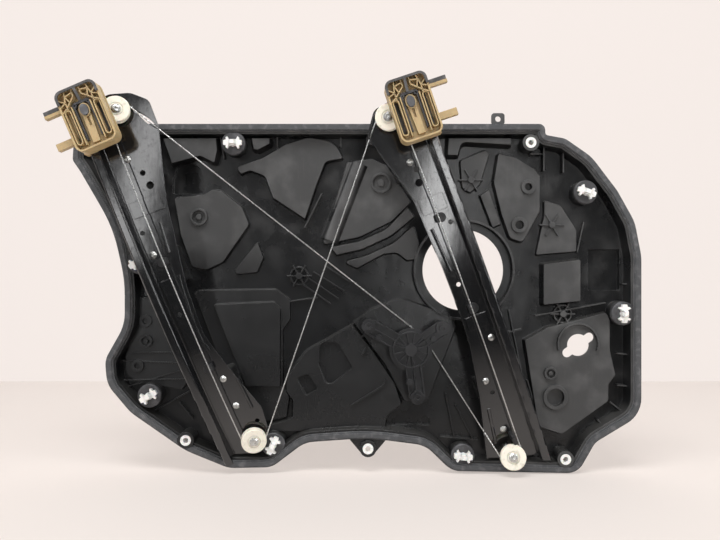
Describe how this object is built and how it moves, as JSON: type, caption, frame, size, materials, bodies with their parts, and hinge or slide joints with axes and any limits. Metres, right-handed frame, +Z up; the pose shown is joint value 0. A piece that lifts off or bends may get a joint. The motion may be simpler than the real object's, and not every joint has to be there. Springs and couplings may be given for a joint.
{
  "type": "window regulator",
  "caption": "Dual-rail cable window regulator on a moulded door-module panel, with two glass carriers, guide pulleys, cable drum and worm-drive motor.",
  "frame": {"origin": "centre of the bottom fixing bush on the seat plane of the perimeter seal", "axes": "+X along the panel to the right as seen from the wet side, +Z up, +Y towards the cabin"},
  "size_m": [0.7758, 0.1593, 0.519],
  "materials": {
    "black_moulding": "moulded, satin, glass-filled",
    "seal_foam": "closed-cell foam, dull",
    "white_nylon": "moulded nylon, satin",
    "rail_coat": "black electrocoat, glossy",
    "bright_steel": "zinc plated",
    "pulley_acetal": "cream acetal, satin gloss",
    "black_gloss": "moulded, semi-gloss",
    "black_nylon": "moulded nylon",
    "tan_acetal": "natural tan plastic",
    "grey_rubber": "soft grey overmould",
    "dark_plastic": "moulded, dull",
    "button_grey": "moulded, satin",
    "cable_steel": "stranded, oiled",
    "gearbox_plastic": "glass-filled, satin",
    "can_steel": "drawn, zinc plated",
    "wheel_plastic": "natural acetal",
    "damper_rubber": "moulded rubber",
    "shaft_steel": "ground",
    "magnet_grey": "sintered ferrite",
    "copper": "enamelled copper wire",
    "bronze": "sintered, oiled",
    "carbon": "pressed carbon",
    "pin_brass": "tin plated brass"
  },
  "bodies": {
    "module": {"carrier_panel": "black_moulding", "perimeter_seal": "seal_foam", "fixing_bushes": "white_nylon", "panel_clips": "white_nylon", "left_rail": "rail_coat", "right_rail": "rail_coat", "rail_rivets": "bright_steel", "cable_guides": "black_nylon", "pulley_axles": "bright_steel", "drum_housing": "black_gloss", "housing_screws": "bright_steel", "gearbox_housing": "gearbox_plastic", "gearbox_cover": "gearbox_plastic", "cover_screws": "bright_steel", "motor_can": "can_steel", "motor_screws": "bright_steel", "motor_magnets": "magnet_grey", "motor_seal": "damper_rubber", "brush_holder": "dark_plastic", "carbon_brushes": "carbon", "armature_bearings": "bronze", "connector_housing": "black_nylon", "connector_pins": "pin_brass", "cable_upper": "cable_steel", "cable_cross": "cable_steel", "cable_lower": "cable_steel"},
    "drum": {"cable_drum": "white_nylon", "drum_windings": "cable_steel", "output_shaft": "shaft_steel", "worm_wheel": "wheel_plastic", "wheel_damper": "damper_rubber"},
    "armature": {"armature_shaft": "shaft_steel", "armature_core": "shaft_steel", "armature_windings": "copper", "commutator": "copper"},
    "left_carrier": {"left_carrier": "tan_acetal", "left_glass_pads": "grey_rubber", "left_glass_clamp": "dark_plastic", "left_cable_nipples": "bright_steel"},
    "left_button": {"left_lock_button": "button_grey"},
    "right_carrier": {"right_carrier": "tan_acetal", "right_glass_pads": "grey_rubber", "right_glass_clamp": "dark_plastic", "right_cable_nipples": "bright_steel"},
    "right_button": {"right_lock_button": "button_grey"},
    "top_left_pulley": {"top_left_pulley": "pulley_acetal"},
    "top_right_pulley": {"top_right_pulley": "pulley_acetal"},
    "bottom_left_pulley": {"bottom_left_pulley": "pulley_acetal"},
    "bottom_right_pulley": {"bottom_right_pulley": "pulley_acetal"}
  },
  "joints": [
    {"name": "armature_spin", "type": "hinge", "parent": "module", "child": "armature", "pos_m": [0.0224, 0.048, 0.1008], "axis": [-1, 0, 0], "range_deg": [0, 68849.75]},
    {"name": "drum_spin", "type": "hinge", "parent": "module", "child": "drum", "pos_m": [0.0584, 0, 0.135], "axis": [0, -1, 0], "range_deg": [0, 943.15]},
    {"name": "left_carrier_travel", "type": "hinge", "parent": "module", "child": "left_carrier", "pos_m": [-0.31835, 1.51358, 0.40439], "axis": [0.9345, 0, 0.3561], "range_deg": [0, 14.51]},
    {"name": "left_button_press", "type": "slide", "parent": "left_carrier", "child": "left_button", "axis": [0.0076, 0.9998, -0.0199], "range_m": [0, 0.003], "stiffness_N_per_m": 400, "springref_m": -0.001},
    {"name": "right_carrier_travel", "type": "hinge", "parent": "module", "child": "right_carrier", "pos_m": [0.05265, 1.51358, 0.40439], "axis": [0.9345, 0, 0.3561], "range_deg": [0, 14.51]},
    {"name": "right_button_press", "type": "slide", "parent": "right_carrier", "child": "right_button", "axis": [0.0076, 0.9998, -0.0199], "range_m": [0, 0.003], "stiffness_N_per_m": 400, "springref_m": -0.001},
    {"name": "top_left_pulley_spin", "type": "hinge", "parent": "module", "child": "top_left_pulley", "pos_m": [-0.31966, -0.06181, 0.44628], "axis": [0.2605, -0.9573, 0.125], "range_deg": [0, 1602.69]},
    {"name": "top_right_pulley_spin", "type": "hinge", "parent": "module", "child": "top_right_pulley", "pos_m": [0.02549, -0.06281, 0.43646], "axis": [-0.2119, -0.9758, -0.0545], "range_deg": [-1602.69, 0]},
    {"name": "bottom_left_pulley_spin", "type": "hinge", "parent": "module", "child": "bottom_left_pulley", "pos_m": [-0.15419, -0.00662, 0.01343], "axis": [0.2147, -0.9553, -0.2032], "range_deg": [0, 1602.69]},
    {"name": "bottom_right_pulley_spin", "type": "hinge", "parent": "module", "child": "bottom_right_pulley", "pos_m": [0.19386, -0.01435, -0.00709], "axis": [-0.0779, -0.9893, 0.1231], "range_deg": [-1602.69, 0]}
  ],
  "couplings": [
    {"joint": "armature_spin", "follows": "left_carrier_travel", "ratio": 4746.5},
    {"joint": "drum_spin", "follows": "left_carrier_travel", "ratio": 65.021},
    {"joint": "right_carrier_travel", "follows": "left_carrier_travel", "ratio": 1},
    {"joint": "top_left_pulley_spin", "follows": "left_carrier_travel", "ratio": 110.49},
    {"joint": "top_right_pulley_spin", "follows": "left_carrier_travel", "ratio": -110.49},
    {"joint": "bottom_left_pulley_spin", "follows": "left_carrier_travel", "ratio": 110.49},
    {"joint": "bottom_right_pulley_spin", "follows": "left_carrier_travel", "ratio": -110.49}
  ]
}
